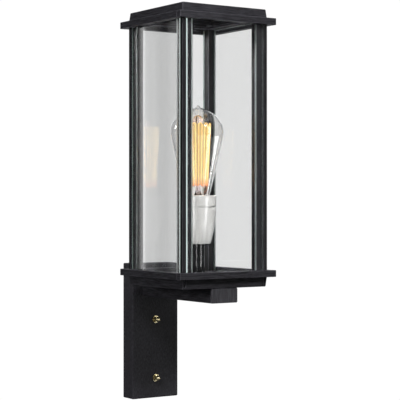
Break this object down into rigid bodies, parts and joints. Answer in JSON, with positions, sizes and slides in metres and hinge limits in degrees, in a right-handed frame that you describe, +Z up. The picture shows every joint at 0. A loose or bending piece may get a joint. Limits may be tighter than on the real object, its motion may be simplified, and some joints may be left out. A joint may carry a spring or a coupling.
{
  "type": "outdoor wall lantern",
  "caption": "Square glazed lantern on a straight arm from a box-shaped wall plate, with a porcelain lampholder, a pear-shaped filament lamp and a lift-off lid.",
  "frame": {"origin": "centre of the wall bracket's back face, on the wall plane", "axes": "+Z up, +Y into the wall, -Y out of the wall along the arm, +X to the right seen from the front"},
  "size_m": [0.14, 0.192, 0.4909],
  "materials": {
    "black_coat": "satin black powder coat with a fine brushed grain",
    "zinc_steel": "zinc-plated steel",
    "brass": "polished brass",
    "clear_glass": "clear float glass with polished green edges",
    "porcelain": "white glazed porcelain",
    "rubber": "matt black rubber",
    "white_plastic": "matt white plastic",
    "lead_sheath": "silicone lead sheath",
    "lamp_glass": "thin clear blown glass",
    "lamp_cap_metal": "nickel-plated lamp cap and support wires",
    "lamp_insulator": "black vitreous insulator",
    "filament_glow": "glowing carbon filament"
  },
  "bodies": {
    "lantern": {"wall_plate": "black_coat", "arm": "black_coat", "arm_end_cap": "black_coat", "base_tray": "black_coat", "floor_plate": "black_coat", "top_frame": "black_coat", "stem_tube": "black_coat", "post_front_left": "black_coat", "post_front_right": "black_coat", "post_rear_left": "black_coat", "post_rear_right": "black_coat", "base_bar_front": "black_coat", "base_bar_rear": "black_coat", "base_bar_left": "black_coat", "base_bar_right": "black_coat", "roof_bar_front": "black_coat", "roof_bar_rear": "black_coat", "roof_bar_left": "black_coat", "roof_bar_right": "black_coat", "wall_bracket": "zinc_steel", "wall_studs": "zinc_steel", "stud_nuts": "zinc_steel", "arm_rear_plug": "zinc_steel", "arm_screws": "zinc_steel", "base_bolts": "zinc_steel", "base_nuts": "zinc_steel", "post_screws_lower": "zinc_steel", "post_screws_upper": "zinc_steel", "threaded_tube": "zinc_steel", "stem_nut_lower": "zinc_steel", "stem_nut_upper": "zinc_steel", "earth_screw": "zinc_steel", "cap_nut_washers": "brass", "terminal_screws": "brass", "screw_shell": "brass", "centre_contact": "brass", "pane_front": "clear_glass", "pane_rear": "clear_glass", "pane_left": "clear_glass", "pane_right": "clear_glass", "lampholder_body": "porcelain", "lampholder_ring": "porcelain", "holder_insert": "porcelain", "cable_grommet": "rubber", "terminal_block": "white_plastic", "lamp_lead": "lead_sheath"},
    "roof": {"roof_cap": "black_coat", "roof_screws": "zinc_steel"},
    "lamp": {"bulb_cap": "lamp_cap_metal", "bulb_insulator": "lamp_insulator", "bulb_contact": "lamp_cap_metal", "bulb_glass": "lamp_glass", "bulb_stem": "lamp_glass", "filament": "filament_glow", "filament_supports": "lamp_cap_metal"},
    "nut_upper": {"cap_nut_upper": "brass"},
    "nut_lower": {"cap_nut_lower": "brass"}
  },
  "joints": [
    {"name": "roof_lift", "type": "slide", "parent": "lantern", "child": "roof", "axis": [0, 0, 1], "range_m": [0, 0.06]},
    {"name": "lamp_turn", "type": "hinge", "parent": "lantern", "child": "lamp", "pos_m": [0, -0.122, 0.17], "axis": [0, 0, 1], "range_deg": [0, 900]},
    {"name": "nut_upper_turn", "type": "hinge", "parent": "lantern", "child": "nut_upper", "pos_m": [0, -0.028, 0.0144], "axis": [0, -1, 0], "range_deg": [0, 2520]},
    {"name": "nut_lower_turn", "type": "hinge", "parent": "lantern", "child": "nut_lower", "pos_m": [0, -0.028, -0.0616], "axis": [0, -1, 0], "range_deg": [0, 2520]}
  ]
}
